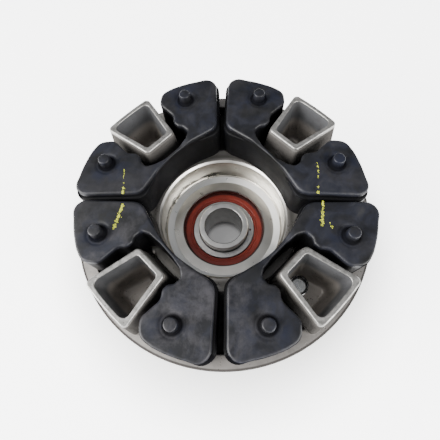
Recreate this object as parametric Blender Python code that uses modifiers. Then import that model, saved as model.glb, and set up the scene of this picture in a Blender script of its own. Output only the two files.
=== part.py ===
"""Rear wheel cush-drive coupling half: a sprocket carrier with four jaws, rubber dampers and its bearing.

The axle line is the Z axis, with the wheel side up. The origin is on the axle line, in the end face of the
outboard boss, which is what the coupling stands on. Lengths below are in millimetres.
"""

import math

import bmesh
import bpy
from mathutils import Matrix, Vector

MM = 0.001
GAP = 0.3

# Casting, all radii from the axle line and all heights from the boss end.
FLANGE_TOP = 47.0
FLANGE_RADIUS = 66.8
RIM_THICKNESS = 7.0
RIM_INNER = 60.3
TROUGH_FLOOR = FLANGE_TOP - 4.0
PLATEAU = FLANGE_TOP - 3.2
PLATEAU_RADIUS = 35.6
SEAT_Z = FLANGE_TOP - 12.0
SEAT_RADIUS = 57.5
PILOT_RADIUS = 37.0
PILOT_END = SEAT_Z - 5.5
BOSS_RADIUS = 32.5
SOCKET_RADIUS = 29.0
SOCKET_FLOOR = FLANGE_TOP - 18.4
LIP_RADIUS = 20.3
BEARING_SEAT = FLANGE_TOP - 21.5
BEARING_BORE = 26.0

# Jaws
JAWS = 4
JAW_TOP = FLANGE_TOP + 17.3
JAW_IN = 38.0
JAW_OUT = 62.7
JAW_HALF_IN = 7.9
JAW_HALF_OUT = 12.1
JAW_DRAFT = 1.9
JAW_WALL = 2.2
POCKET_FLOOR = FLANGE_TOP - 5.0

# Rubber dampers
DAMPER_TOP = FLANGE_TOP + 16.6
LEDGE_Z = FLANGE_TOP + 13.4
STRAP_IN = 30.3
STRAP_OUT = 31.9
LOBE_OUT = 63.6
LOBE_GAP_TOP = 2.2
LOBE_GAP_LOW = 1.2
PEG_RADIUS = 2.7
PEG_TOP = FLANGE_TOP + 20.7
PEG_CIRCLE = 53.3
PEG_ANGLE = math.radians(26.5)

# Ball bearing 25 x 52 x 15
BEARING_TOP = BEARING_SEAT - GAP
BEARING_WIDTH = 15.0
BEARING_MID = BEARING_TOP - BEARING_WIDTH / 2
OUTER_RADIUS = BEARING_BORE - GAP
BALLS = 9
BALL_RADIUS = 3.97
PITCH_RADIUS = 19.5

# Axle sleeve
SLEEVE_RADIUS = 12.5
SLEEVE_BORE = 9.5
SLEEVE_TOP = FLANGE_TOP - 16.6
SLEEVE_END = BEARING_TOP - BEARING_WIDTH

# Retaining ring and grease seal at the outboard end of the boss
CLIP_TOP = SLEEVE_END - 0.5
CLIP_THICKNESS = 1.8
GROOVE_RADIUS = 27.5
SEAL_TOP = CLIP_TOP - CLIP_THICKNESS - 0.7
SEAL_END = 0.5
SEAL_LIP = 15.5

# Sprocket studs
STUDS = 6
STUD_CIRCLE = 46.5
STUD_RADIUS = 4.0
STUD_TOP = POCKET_FLOOR - 0.8
STUD_END = SEAT_Z - 21.0
FIRST_STUD = math.radians(-45)

COLLECTION = "JawCoupling"


def clear_scene():
    for obj in list(bpy.data.objects):
        bpy.data.objects.remove(obj, do_unlink=True)


def new_collection(name):
    collection = bpy.data.collections.new(name)
    bpy.context.scene.collection.children.link(collection)
    return collection


def material(name, colour, roughness, metallic):
    mat = bpy.data.materials.new(name)
    mat.use_nodes = True
    shader = mat.node_tree.nodes["Principled BSDF"]
    shader.inputs["Base Color"].default_value = (*colour, 1.0)
    shader.inputs["Roughness"].default_value = roughness
    shader.inputs["Metallic"].default_value = metallic
    return mat


def place(name, mesh, mat, collection, parent=None):
    obj = bpy.data.objects.new(name, mesh)
    collection.objects.link(obj)
    if mat and not mesh.materials:
        mesh.materials.append(mat)
    obj.parent = parent
    return obj


def smooth(mesh, angle=35):
    mesh.shade_smooth()
    mesh.set_sharp_from_angle(angle=math.radians(angle))


def empty(name, collection, z=0.0, parent=None):
    obj = bpy.data.objects.new(name, None)
    obj.location.z = z * MM
    obj.parent = parent
    collection.objects.link(obj)
    return obj


def turned(name, profile, steps, mat, collection, parent=None):
    """A closed profile of (radius, height) swept about Z. It runs down its outer side, top to bottom."""
    mesh = bpy.data.meshes.new(name)
    bm = bmesh.new()
    points = [bm.verts.new((r * MM, 0, z * MM)) for r, z in profile]
    for i, point in enumerate(points):
        bm.edges.new((point, points[(i + 1) % len(points)]))
    bm.to_mesh(mesh)
    bm.free()
    obj = place(name, mesh, mat, collection, parent)
    screw = obj.modifiers.new("Turn", "SCREW")
    screw.axis = "Z"
    screw.steps = steps
    screw.render_steps = steps
    screw.use_merge_vertices = True
    screw.merge_threshold = 0.00001
    return obj


def cut(obj, tool, operation="DIFFERENCE"):
    boolean = obj.modifiers.new(operation.title(), "BOOLEAN")
    boolean.operation = operation
    boolean.solver = "EXACT"
    boolean.object = tool


def as_tool(obj):
    obj.hide_render = True
    obj.display_type = "WIRE"
    return obj


def baked(obj, name):
    """The object's mesh with its modifiers applied, for sharing between copies."""
    bpy.context.view_layer.update()
    graph = bpy.context.evaluated_depsgraph_get()
    mesh = bpy.data.meshes.new_from_object(obj.evaluated_get(graph))
    mesh.name = name
    return mesh


def loft(name, rings):
    """A solid through rings of equally many points. Each ring is (height, outline), lowest first."""
    mesh = bpy.data.meshes.new(name)
    bm = bmesh.new()
    rows = []
    for z, outline in rings:
        rows.append([bm.verts.new((x * MM, y * MM, z * MM)) for x, y in outline])
    count = len(rows[0])
    bm.faces.new(reversed(rows[0]))
    bm.faces.new(rows[-1])
    for low, high in zip(rows, rows[1:]):
        for i in range(count):
            j = (i + 1) % count
            bm.faces.new((low[i], low[j], high[j], high[i]))
    bm.to_mesh(mesh)
    bm.free()
    return mesh


def rounded(corners, segments=2):
    """A closed outline, anticlockwise, whose corners (x, y, radius) are replaced by arcs."""
    outline = []
    count = len(corners)
    for i in range(count):
        x, y, radius = corners[i]
        here = Vector((x, y))
        back = (Vector(corners[i - 1][:2]) - here).normalized()
        ahead = (Vector(corners[(i + 1) % count][:2]) - here).normalized()
        if radius <= 0:
            outline.append((x, y))
            continue
        half = back.angle(ahead) / 2
        reach = radius / math.tan(half)
        centre = here + (back + ahead).normalized() * radius / math.sin(half)
        start = here + back * reach - centre
        turn = start.angle_signed(here + ahead * reach - centre)
        for k in range(segments + 1):
            spoke = start.copy()
            spoke.rotate(Matrix.Rotation(-turn * k / segments, 2))
            outline.append(tuple(centre + spoke))
    return outline


def jaw_outline(grow_in, grow_side, grow_out, radius):
    """The jaw's section, its axis along +X: a trapezoid whose outer side follows the flange."""
    inner = JAW_IN - grow_in
    outer = JAW_OUT + grow_out
    half_in = JAW_HALF_IN + grow_side
    half_out = JAW_HALF_OUT + grow_side
    corner = math.sqrt(outer**2 - half_out**2)
    bulge = math.sqrt(outer**2 - (half_out / 2) ** 2)
    return rounded(
        [
            (inner, half_in, radius),
            (inner, -half_in, radius),
            (corner, -half_out, radius),
            (bulge, -half_out / 2, 0),
            (outer, 0, 0),
            (bulge, half_out / 2, 0),
            (corner, half_out, radius),
        ]
    )


def jaw_mesh():
    """The jaw's outer block. It widens downwards and flares where it meets the floor."""
    foot = TROUGH_FLOOR - 1.0
    return loft(
        "Jaw",
        [
            (foot, jaw_outline(2.9, JAW_DRAFT + 0.1, 2.9, 2.6)),
            (TROUGH_FLOOR + 0.2, jaw_outline(2.8, JAW_DRAFT + 0.1, 2.8, 2.5)),
            (TROUGH_FLOOR + 1.2, jaw_outline(2.3, JAW_DRAFT - 0.1, 2.4, 2.3)),
            (JAW_TOP - 0.5, jaw_outline(0, 0, 0, 2.0)),
            (JAW_TOP, jaw_outline(-0.4, -0.4, -0.4, 1.7)),
        ],
    )


def pocket_mesh():
    """The hollow in a jaw. It narrows towards its floor."""
    wall = -JAW_WALL
    return loft(
        "Pocket",
        [
            (POCKET_FLOOR, jaw_outline(wall - 1.6, wall - 1.4, wall - 2.4, 1.6)),
            (JAW_TOP - 0.4, jaw_outline(wall, wall + 0.3, wall, 1.2)),
            (JAW_TOP + 1.0, jaw_outline(wall + 0.5, wall + 0.8, wall + 0.5, 1.0)),
        ],
    )


def carrier_profile():
    """The casting's section, from the rim round the underside and back up through the bore."""
    groove_low = CLIP_TOP - CLIP_THICKNESS - 0.3
    return [
        (RIM_INNER + 0.6, FLANGE_TOP),
        (FLANGE_RADIUS - 0.6, FLANGE_TOP),
        (FLANGE_RADIUS, FLANGE_TOP - 0.6),
        (FLANGE_RADIUS, FLANGE_TOP - RIM_THICKNESS + 0.6),
        (FLANGE_RADIUS - 0.6, FLANGE_TOP - RIM_THICKNESS),
        (SEAT_RADIUS + 1.2, FLANGE_TOP - RIM_THICKNESS),
        (SEAT_RADIUS, SEAT_Z),
        (PILOT_RADIUS, SEAT_Z),
        (PILOT_RADIUS, PILOT_END + 0.8),
        (PILOT_RADIUS - 0.8, PILOT_END),
        (BOSS_RADIUS + 1.5, PILOT_END),
        (BOSS_RADIUS, 1.0),
        (BOSS_RADIUS - 1.0, 0.0),
        (BEARING_BORE + 0.7, 0.0),
        (BEARING_BORE, 0.7),
        (BEARING_BORE, groove_low),
        (GROOVE_RADIUS, groove_low),
        (GROOVE_RADIUS, CLIP_TOP + 0.3),
        (BEARING_BORE, CLIP_TOP + 0.3),
        (BEARING_BORE, BEARING_SEAT),
        (LIP_RADIUS, BEARING_SEAT),
        (LIP_RADIUS, SOCKET_FLOOR - 0.4),
        (LIP_RADIUS + 0.4, SOCKET_FLOOR),
        (25.4, SOCKET_FLOOR),
        (SOCKET_RADIUS - 0.5, SOCKET_FLOOR + 1.0),
        (SOCKET_RADIUS, SOCKET_FLOOR + 1.5),
        (SOCKET_RADIUS, PLATEAU - 1.2),
        (SOCKET_RADIUS + 1.1, PLATEAU),
        (PLATEAU_RADIUS, PLATEAU),
        (PLATEAU_RADIUS + 0.8, TROUGH_FLOOR),
        (RIM_INNER, TROUGH_FLOOR),
        (RIM_INNER, FLANGE_TOP - 0.6),
    ]


def turn_to(obj, angle):
    obj.rotation_euler.z = angle
    return obj


def jaw_angle(index):
    return math.radians(45) + index * math.tau / JAWS


def stud_places():
    for k in range(STUDS):
        angle = FIRST_STUD + k * math.tau / STUDS
        yield k + 1, STUD_CIRCLE * math.cos(angle), STUD_CIRCLE * math.sin(angle)


def make_carrier(mat, parts, tools):
    carrier = turned("sprocket_carrier", carrier_profile(), 40, mat, parts)
    block, pocket = jaw_mesh(), pocket_mesh()
    for k in range(JAWS):
        jaw = as_tool(turn_to(place(f"Jaw{k}", block, mat, tools), jaw_angle(k)))
        cut(carrier, jaw, "UNION")
    for k in range(JAWS):
        hollow = as_tool(turn_to(place(f"Pocket{k}", pocket, mat, tools), jaw_angle(k)))
        cut(carrier, hollow)
    hole = cylinder("StudHole", STUD_RADIUS + GAP, SEAT_Z - 1, JAW_TOP, 16)
    hole.materials.append(mat)
    for number, x, y in stud_places():
        drill = as_tool(place(f"StudHole{number}", hole, mat, tools))
        drill.location = (x * MM, y * MM, 0)
        cut(carrier, drill)
    return carrier


def cylinder(name, radius, low, high, segments, top_radius=None):
    """A cylinder or a taper along Z, made from a cone primitive."""
    mesh = bpy.data.meshes.new(name)
    bm = bmesh.new()
    bmesh.ops.create_cone(
        bm,
        cap_ends=True,
        segments=segments,
        radius1=radius * MM,
        radius2=(radius if top_radius is None else top_radius) * MM,
        depth=(high - low) * MM,
        matrix=Matrix.Translation((0, 0, (low + high) / 2 * MM)),
    )
    bm.to_mesh(mesh)
    bm.free()
    return mesh


def lobe_side(gap, inset=0.0):
    """One lobe's outline from the strap to the gap and back, the jaw's axis being +X and the lobe at +Y.

    The side that faces the gap lies parallel to a line at 45 degrees, at the given distance from it.
    The side that faces the jaw touches it near the rim, bulges towards it, and is notched at its corner.
    """
    step = gap * math.sqrt(2)
    reach = 48.6 - inset * 0.7
    inner = 22.0
    outer = LOBE_OUT - inset
    return [
        (STRAP_OUT, 4.0, 0),
        (32.5, 9.6, 0.8),
        (34.5, 12.5, 1.6),
        (37.6, 12.4, 1.4),
        (39.6, 11.3, 1.2),
        (42.4, 11.3, 1.6),
        (45.4, 13.8, 2.0),
        (55.4 - inset, 13.8, 1.6),
        (58.2 - inset, 17.0, 1.8),
        ((outer - 0.7) * math.cos(0.42), (outer - 0.7) * math.sin(0.42), 0),
        (outer * math.cos(0.57), outer * math.sin(0.57), 0),
        (reach, reach - step, 5.0),
        (inner + step + 1.6, inner + 1.6, 4.5),
        (30.0, 9.6, 3.0),
        (STRAP_IN, 4.0, 0),
    ]


def damper_outline(gap, inset=0.0):
    upper = lobe_side(gap, inset)
    lower = [(x, -y, radius) for x, y, radius in reversed(upper)]
    return rounded(lower + upper)


def make_dampers(mat, parts, tools, carrier):
    """One moulding, shared by four objects: stepped on the gap side, with a foot in the flange's trough."""
    low = TROUGH_FLOOR + GAP
    prism = loft(
        "DamperPrism",
        [
            (low, damper_outline(LOBE_GAP_LOW)),
            (LEDGE_Z, damper_outline(LOBE_GAP_LOW)),
            (LEDGE_Z + 0.5, damper_outline(LOBE_GAP_TOP)),
            (DAMPER_TOP - 0.7, damper_outline(LOBE_GAP_TOP)),
            (DAMPER_TOP, damper_outline(LOBE_GAP_TOP + 0.4, 0.5)),
        ],
    )
    blank = as_tool(place("DamperBlank", prism, mat, tools))
    under_rim = [
        (FLANGE_RADIUS + 5, FLANGE_TOP + GAP),
        (FLANGE_RADIUS + 5, low - 5),
        (RIM_INNER - GAP - 0.4, low - 5),
        (RIM_INNER - GAP - 0.4, FLANGE_TOP + GAP),
    ]
    cut(blank, as_tool(turned("RimRoom", under_rim, 40, mat, tools)))
    over_plateau = [
        (PLATEAU_RADIUS + 1.4, PLATEAU + GAP),
        (PLATEAU_RADIUS + 1.4, low - 5),
        (10.0, low - 5),
        (10.0, PLATEAU + GAP),
    ]
    cut(blank, as_tool(turned("PlateauRoom", over_plateau, 40, mat, tools)))
    for side in (-1, 1):
        mesh = cylinder("Peg", PEG_RADIUS + 0.2, DAMPER_TOP - 2, PEG_TOP, 12, PEG_RADIUS - 0.2)
        peg = as_tool(place(f"Peg{side}", mesh, mat, tools))
        peg.location.x = PEG_CIRCLE * math.cos(PEG_ANGLE) * MM
        peg.location.y = PEG_CIRCLE * math.sin(PEG_ANGLE) * side * MM
        cut(blank, peg, "UNION")
    mesh = baked(blank, "Damper")
    smooth(mesh)
    for k in range(JAWS):
        turn_to(place(f"damper_{k + 1}", mesh, mat, parts, carrier), jaw_angle(k))


def race(radius, side, count=4):
    """Points down a ball groove whose bottom is at this radius, on the side (+1 or -1) the balls lie."""
    reach = BALL_RADIUS + GAP
    centre = radius + side * reach
    points = []
    for k in range(count):
        angle = math.radians(50 - 100 * k / (count - 1))
        points.append((centre - side * reach * math.cos(angle), BEARING_MID + reach * math.sin(angle)))
    return points


def make_bearing(steel, cage_mat, red, parts, tools, carrier, spin, cage_axis):
    half = BEARING_WIDTH / 2
    top, end = BEARING_MID + half, BEARING_MID - half
    outer_groove = race(PITCH_RADIUS + BALL_RADIUS + GAP, -1)
    turned(
        "bearing_outer_ring",
        [
            (OUTER_RADIUS - 0.5, top),
            (OUTER_RADIUS, top - 0.5),
            (OUTER_RADIUS, end + 0.5),
            (OUTER_RADIUS - 0.5, end),
            (23.4, end),
            (23.4, end + 2.0),
            (22.3, end + 2.0),
            *reversed(outer_groove),
            (22.3, top - 2.0),
            (23.4, top - 2.0),
            (23.4, top),
        ],
        32,
        steel,
        parts,
        carrier,
    )
    bore = SLEEVE_RADIUS + GAP
    inner_groove = race(PITCH_RADIUS - BALL_RADIUS - GAP, 1)
    turned(
        "bearing_inner_ring",
        [
            (15.6, top),
            (15.6, top - 2.0),
            (16.9, top - 2.0),
            *inner_groove,
            (16.9, end + 2.0),
            (15.6, end + 2.0),
            (15.6, end),
            (bore + 0.5, end),
            (bore, end + 0.5),
            (bore, top - 0.5),
            (bore + 0.5, top),
        ],
        32,
        steel,
        parts,
        spin,
    )
    for name, side, mat in (("inboard", 1, red), ("outboard", -1, red)):
        far = BEARING_MID + side * (half - 0.3)
        near = BEARING_MID + side * (half - 1.5)
        high, low = max(far, near), min(far, near)
        shield = [(23.1, high), (23.1, low), (15.9, low), (15.9, high)]
        turned(f"bearing_seal_{name}", shield, 32, mat, parts, carrier)
    make_balls(steel, cage_mat, parts, tools, cage_axis)


def make_balls(steel, cage_mat, parts, tools, cage_axis):
    """Nine balls, and the crown cage that they snap into from its open side."""
    base = BEARING_MID - 4.0
    ring = [(21.6, BEARING_MID + 2.0), (21.6, base), (17.6, base), (17.6, BEARING_MID + 2.0)]
    cage = turned("bearing_cage", ring, 27, cage_mat, parts, cage_axis)
    cage.location.z = -cage_axis.location.z
    ball_mesh = sphere("Ball", BALL_RADIUS, 10, 6)
    room_mesh = sphere("BallRoom", BALL_RADIUS + GAP + 0.2, 10, 6)
    for k in range(BALLS):
        angle = k * math.tau / BALLS
        spot = (PITCH_RADIUS * math.cos(angle) * MM, PITCH_RADIUS * math.sin(angle) * MM, 0)
        ball = place(f"bearing_ball_{k + 1}", ball_mesh, steel, parts, cage_axis)
        ball.location = spot
        ball.rotation_euler.z = angle
        room = as_tool(place(f"BallRoom{k + 1}", room_mesh, cage_mat, tools, cage_axis))
        room.location = spot
        room.rotation_euler.z = angle
        cut(cage, room)


def sphere(name, radius, around, rings):
    mesh = bpy.data.meshes.new(name)
    bm = bmesh.new()
    bmesh.ops.create_uvsphere(bm, u_segments=around, v_segments=rings, radius=radius * MM)
    bm.to_mesh(mesh)
    bm.free()
    mesh.shade_smooth()
    return mesh


def make_sleeve(mat, parts, spin):
    turned(
        "axle_sleeve",
        [
            (SLEEVE_RADIUS - 0.5, SLEEVE_TOP),
            (SLEEVE_RADIUS, SLEEVE_TOP - 0.5),
            (SLEEVE_RADIUS, SLEEVE_END + 0.5),
            (SLEEVE_RADIUS - 0.5, SLEEVE_END),
            (SLEEVE_BORE + 0.5, SLEEVE_END),
            (SLEEVE_BORE, SLEEVE_END + 0.5),
            (SLEEVE_BORE, SLEEVE_TOP - 0.5),
            (SLEEVE_BORE + 0.5, SLEEVE_TOP),
        ],
        32,
        mat,
        parts,
        spin,
    )


def make_circlip(mat, parts, carrier):
    """An open spring ring in the boss's groove, with a lug at each end."""
    low = CLIP_TOP - CLIP_THICKNESS
    opening = math.radians(14)
    outline = []
    count = 28
    for k in range(count + 1):
        angle = opening + (math.tau - 2 * opening) * k / count
        outline.append((27.1 * math.cos(angle), 27.1 * math.sin(angle), 0))
    lug = 21.6
    for k in range(count + 1):
        angle = math.tau - opening - (math.tau - 2 * opening) * k / count
        radius = lug if k in (0, 1, count - 1, count) else 24.4
        outline.append((radius * math.cos(angle), radius * math.sin(angle), 0))
    flat = rounded(outline)
    place("circlip", loft("Circlip", [(low, flat), (CLIP_TOP, flat)]), mat, parts, carrier)


def ring_section(radius, height, thickness, count):
    """A round section of a ring, as points that run down its outer side."""
    points = []
    for k in range(count):
        angle = k * math.tau / count
        points.append((radius + thickness * math.sin(angle), height + thickness * math.cos(angle)))
    return points


def make_grease_seal(rubber, steel, parts, carrier):
    """A moulded seal: a cased outer wall, a web at the boss end, and a lip that points inboard."""
    turned(
        "grease_seal",
        [
            (OUTER_RADIUS, SEAL_TOP),
            (OUTER_RADIUS, SEAL_END + 0.6),
            (OUTER_RADIUS - 0.6, SEAL_END),
            (18.0, SEAL_END),
            (SEAL_LIP + 0.6, SEAL_END + 0.6),
            (SEAL_LIP + 0.9, SEAL_END + 2.4),
            (SEAL_LIP, SEAL_END + 3.6),
            (SEAL_LIP + 0.8, SEAL_TOP - 0.6),
            (SEAL_LIP + 2.0, SEAL_TOP - 0.6),
            (SEAL_LIP + 1.7, SEAL_TOP - 1.4),
            (SEAL_LIP + 1.7, SEAL_END + 2.0),
            (23.6, SEAL_END + 2.0),
            (23.6, SEAL_TOP),
        ],
        32,
        rubber,
        parts,
        carrier,
    )
    turned(
        "garter_spring",
        ring_section(SEAL_LIP + 2.6, SEAL_END + 3.5, 0.6, 6),
        32,
        steel,
        parts,
        carrier,
    )


def make_studs(mat, parts, carrier):
    low = STUD_END
    profile = [
        (0.0, STUD_TOP),
        (STUD_RADIUS - 1.0, STUD_TOP),
        (STUD_RADIUS, STUD_TOP - 1.0),
        (STUD_RADIUS, low + 0.8),
        (STUD_RADIUS - 0.8, low),
        (0.0, low),
    ]
    mould = turned("StudMould", profile, 16, mat, parts)
    mesh = baked(mould, "Stud")
    bpy.data.objects.remove(mould)
    smooth(mesh)
    for number, x, y in stud_places():
        stud = place(f"sprocket_stud_{number}", mesh, mat, parts, carrier)
        stud.location = (x * MM, y * MM, 0)


def build():
    clear_scene()
    parts = new_collection(COLLECTION)
    tools = new_collection("Cutters")
    tools.hide_render = True
    casting = material("CastAluminium", (0.50, 0.47, 0.44), 0.45, 0.85)
    rubber = material("BlackRubber", (0.040, 0.042, 0.052), 0.55, 0.0)
    red = material("RedSealRubber", (0.30, 0.040, 0.025), 0.50, 0.0)
    ring_steel = material("BearingSteel", (0.56, 0.55, 0.54), 0.28, 1.0)
    sleeve_steel = material("SleeveSteel", (0.60, 0.59, 0.57), 0.32, 1.0)
    zinc = material("ZincPlate", (0.72, 0.73, 0.74), 0.28, 1.0)
    cage_mat = material("CagePolyamide", (0.05, 0.05, 0.05), 0.60, 0.0)
    carrier = make_carrier(casting, parts, tools)
    spin = empty("SleeveAxis", parts, 0.0, carrier)
    cage_axis = empty("CageAxis", parts, BEARING_MID, carrier)
    make_dampers(rubber, parts, tools, carrier)
    make_bearing(ring_steel, cage_mat, red, parts, tools, carrier, spin, cage_axis)
    make_sleeve(sleeve_steel, parts, spin)
    make_circlip(ring_steel, parts, carrier)
    make_grease_seal(rubber, ring_steel, parts, carrier)
    make_studs(zinc, parts, carrier)


build()
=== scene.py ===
"""Looks of the rear wheel coupling half: casting, rubber dampers, bearing, sleeve, seal and studs.

Lengths in the code are millimetres unless a comment says otherwise, and MM turns them into metres.
"""

import math
import random

import bmesh
import bpy
from mathutils import Matrix, Vector, noise


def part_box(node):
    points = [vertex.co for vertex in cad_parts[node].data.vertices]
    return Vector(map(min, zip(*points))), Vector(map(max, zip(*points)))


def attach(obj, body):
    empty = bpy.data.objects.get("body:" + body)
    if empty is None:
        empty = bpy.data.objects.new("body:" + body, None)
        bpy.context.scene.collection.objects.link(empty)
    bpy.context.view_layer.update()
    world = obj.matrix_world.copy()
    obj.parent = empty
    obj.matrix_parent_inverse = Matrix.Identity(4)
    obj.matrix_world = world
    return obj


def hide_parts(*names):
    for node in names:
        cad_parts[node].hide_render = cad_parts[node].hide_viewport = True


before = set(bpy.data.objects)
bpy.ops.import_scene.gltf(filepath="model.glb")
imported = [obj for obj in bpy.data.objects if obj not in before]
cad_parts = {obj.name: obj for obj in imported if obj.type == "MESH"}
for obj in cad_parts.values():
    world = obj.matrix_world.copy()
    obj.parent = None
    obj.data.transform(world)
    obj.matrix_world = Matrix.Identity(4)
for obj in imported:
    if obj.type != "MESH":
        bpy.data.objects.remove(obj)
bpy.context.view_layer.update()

MM = 0.001
JAWS = 4
SOCKET_RADIUS = 29.0
LIP_RADIUS = 20.3
FLANGE_RADIUS = 66.8
RIM_INNER = 60.3
PLATEAU_RADIUS = 35.6
BOSS_RADIUS = 32.5
PILOT_RADIUS = 37.0
SEAT_RADIUS = 57.5
PEG_CIRCLE = 53.3
PEG_ANGLE = math.radians(26.5)
LOBE_OUT = 63.2

# A jaw's section at its rim, its axis being +X, and how much wider it is at the foot
JAW_IN, JAW_OUT = 38.0, 62.7
JAW_HALF_IN, JAW_HALF_OUT = 7.9, 12.1
DRAFT_IN, DRAFT_SIDE, DRAFT_OUT = 2.5, 1.9, 2.4
JAW_WALL = 2.2
JAW_HEIGHT = 17.3

# The balls lie on the pitch circle, in grooves a little wider than they are
BALLS = 9
BALL_RADIUS = 3.97
PITCH_RADIUS = 19.5
GROOVE_RADIUS = 4.27
BEARING_BORE = 26.0
CLIP_GROOVE = 27.5
SLEEVE_BORE = 9.5

STUDS = 6
# Left between parts that are near but don't touch
GAP = 0.3

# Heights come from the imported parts
JAW_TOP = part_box("sprocket_carrier")[1].z / MM
FACE = JAW_TOP - JAW_HEIGHT
FLOOR = FACE - 4.0
PLATEAU = FACE - 3.2
POCKET_FLOOR = FACE - 5.0
SEAT_Z = FACE - 12.0
PEG_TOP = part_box("damper_1")[1].z / MM
DAMPER_TOP = FACE + 16.6
LEDGE = FACE + 13.4
RING_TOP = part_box("bearing_outer_ring")[1].z / MM
RING_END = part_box("bearing_outer_ring")[0].z / MM
RING_MIDDLE = (RING_TOP + RING_END) / 2
SLEEVE_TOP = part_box("axle_sleeve")[1].z / MM

# How each loose damper lies, out along its jaw, across it, and turned by degrees about its own middle
DAMPER_LIES = (-0.9, -0.3, -3.4), (0.1, -0.4, 0.5), (-0.6, -0.6, -2.9), (0.1, -0.4, -0.8)


def span(node):
    low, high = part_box(node)
    return low / MM, high / MM


# ---- mesh helpers


def new_object(name, data, *mats):
    """An object with that mesh, light or camera."""
    obj = bpy.data.objects.new(name, data)
    bpy.context.scene.collection.objects.link(obj)
    for mat in mats:
        data.materials.append(mat)
    return obj


def made_mesh(bm, name, outwards=True):
    """The mesh of a bmesh, which is freed. Its faces are turned outwards first, if asked."""
    if outwards:
        bmesh.ops.recalc_face_normals(bm, faces=bm.faces)
    mesh = bpy.data.meshes.new(name)
    bm.to_mesh(mesh)
    bm.free()
    return mesh


def polar(radius, angle):
    return radius * math.cos(angle), radius * math.sin(angle)


def spoke(k, steps):
    """The cosine and sine of step k of a full turn."""
    return polar(1.0, k * math.tau / steps)


def quarter(steps):
    """1 - cos and 1 - sin of each step of a right angle, for a rounded edge."""
    for k in range(steps + 1):
        angle = math.pi / 2 * k / steps
        yield 1 - math.cos(angle), 1 - math.sin(angle)


def bridge(bm, here, there):
    """The faces between two closed loops of equally many vertices."""
    for i in range(len(here)):
        j = (i + 1) % len(here)
        bm.faces.new((here[i], here[j], there[j], there[i]))


def finish_mesh(mesh, angle):
    bm = bmesh.new()
    bm.from_mesh(mesh)
    bmesh.ops.recalc_face_normals(bm, faces=bm.faces)
    bm.to_mesh(mesh)
    bm.free()
    mesh.shade_smooth()
    mesh.set_sharp_from_angle(angle=math.radians(angle))
    return mesh


def rounded_corner(corners, i, segments):
    """The arc that replaces corner i of (x, y, radius) corners."""
    x, y, radius = corners[i]
    if radius <= 0:
        return [(x, y)]
    here = Vector((x, y))
    back = (Vector(corners[i - 1][:2]) - here).normalized()
    ahead = (Vector(corners[(i + 1) % len(corners)][:2]) - here).normalized()
    half = back.angle(ahead) / 2
    reach = radius / math.tan(half)
    centre = here + (back + ahead).normalized() * radius / math.sin(half)
    start = here + back * reach - centre
    turn = start.angle_signed(here + ahead * reach - centre)
    arc = []
    for k in range(segments + 1):
        arm = start.copy()
        arm.rotate(Matrix.Rotation(-turn * k / segments, 2))
        arc.append(tuple(centre + arm))
    return arc


def rounded(corners, segments):
    return [point for i in range(len(corners)) for point in rounded_corner(corners, i, segments)]


def columns(bm, profile, steps):
    """The vertices of a (radius, height) profile at each step of a full turn."""
    rows = []
    for k in range(steps):
        c, s = spoke(k, steps)
        rows.append([bm.verts.new((r * c * MM, r * s * MM, z * MM)) for r, z in profile])
    return rows


def turned_mesh(name, corners, steps, segments=3):
    """A closed profile of (radius, height, fillet) swept about Z."""
    bm = bmesh.new()
    rows = columns(bm, rounded(corners, segments), steps)
    for k in range(steps):
        bridge(bm, rows[k], rows[(k + 1) % steps])
    return made_mesh(bm, name)


def solid_turned(name, corners, steps, segments=3):
    """An open profile from the axis to the axis, (radius, height, fillet), swept to a solid."""
    inner = [point for i in range(1, len(corners) - 1) for point in rounded_corner(corners, i, segments)]
    bm = bmesh.new()
    top = bm.verts.new((0, 0, corners[0][1] * MM))
    bottom = bm.verts.new((0, 0, corners[-1][1] * MM))
    rows = columns(bm, inner, steps)
    for k in range(steps):
        here, there = rows[k], rows[(k + 1) % steps]
        bm.faces.new((top, here[0], there[0]))
        for i in range(len(here) - 1):
            bm.faces.new((here[i], here[i + 1], there[i + 1], there[i]))
        bm.faces.new((here[-1], bottom, there[-1]))
    return made_mesh(bm, name)


def loft_mesh(name, rings):
    """A solid through rings of equally many (x, y, z) points, with flat ends."""
    bm = bmesh.new()
    rows = [[bm.verts.new((x * MM, y * MM, z * MM)) for x, y, z in ring] for ring in rings]
    for low, high in zip(rows, rows[1:]):
        bridge(bm, low, high)
    bm.faces.new(reversed(rows[0]))
    bm.faces.new(rows[-1])
    return made_mesh(bm, name)


def at(outline, z):
    return [(x, y, z) for x, y in outline]


def pulled_in(outline, distance, share):
    """The outline moved inwards along its corner normals, at each point by that share of the distance."""
    count = len(outline)
    moved = []
    for i in range(count):
        a, b, c = (Vector(outline[j % count]) for j in (i - 1, i, i + 1))
        edge_in, edge_out = (b - a).normalized(), (c - b).normalized()
        normal = Vector((-(edge_in.y + edge_out.y), edge_in.x + edge_out.x)).normalized()
        stretch = max(0.6, normal.dot(Vector((-edge_in.y, edge_in.x))))
        moved.append(tuple(b + normal * distance * share(*b) / stretch))
    return moved


def tool(name, mesh, location=(0, 0, 0), angle=0.0):
    obj = new_object(name, mesh)
    obj.location = Vector(location) * MM
    obj.rotation_euler.z = angle
    return obj


def joined(obj, steps, name):
    """The object after Boolean steps of (operation, tool object). The tools are removed."""
    for operation, cutter in steps:
        boolean = obj.modifiers.new(operation, "BOOLEAN")
        boolean.operation = operation
        boolean.solver = "EXACT"
        boolean.object = cutter
    bpy.context.view_layer.update()
    graph = bpy.context.evaluated_depsgraph_get()
    mesh = bpy.data.meshes.new_from_object(obj.evaluated_get(graph))
    mesh.name = name
    mesh.materials.clear()
    for cutter in [cutter for _, cutter in steps] + [obj]:
        bpy.data.objects.remove(cutter, do_unlink=True)
    return mesh


def weight_normals(obj):
    modifier = obj.modifiers.new("Weighted", "WEIGHTED_NORMAL")
    modifier.keep_sharp = True
    modifier.weight = 80


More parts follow.
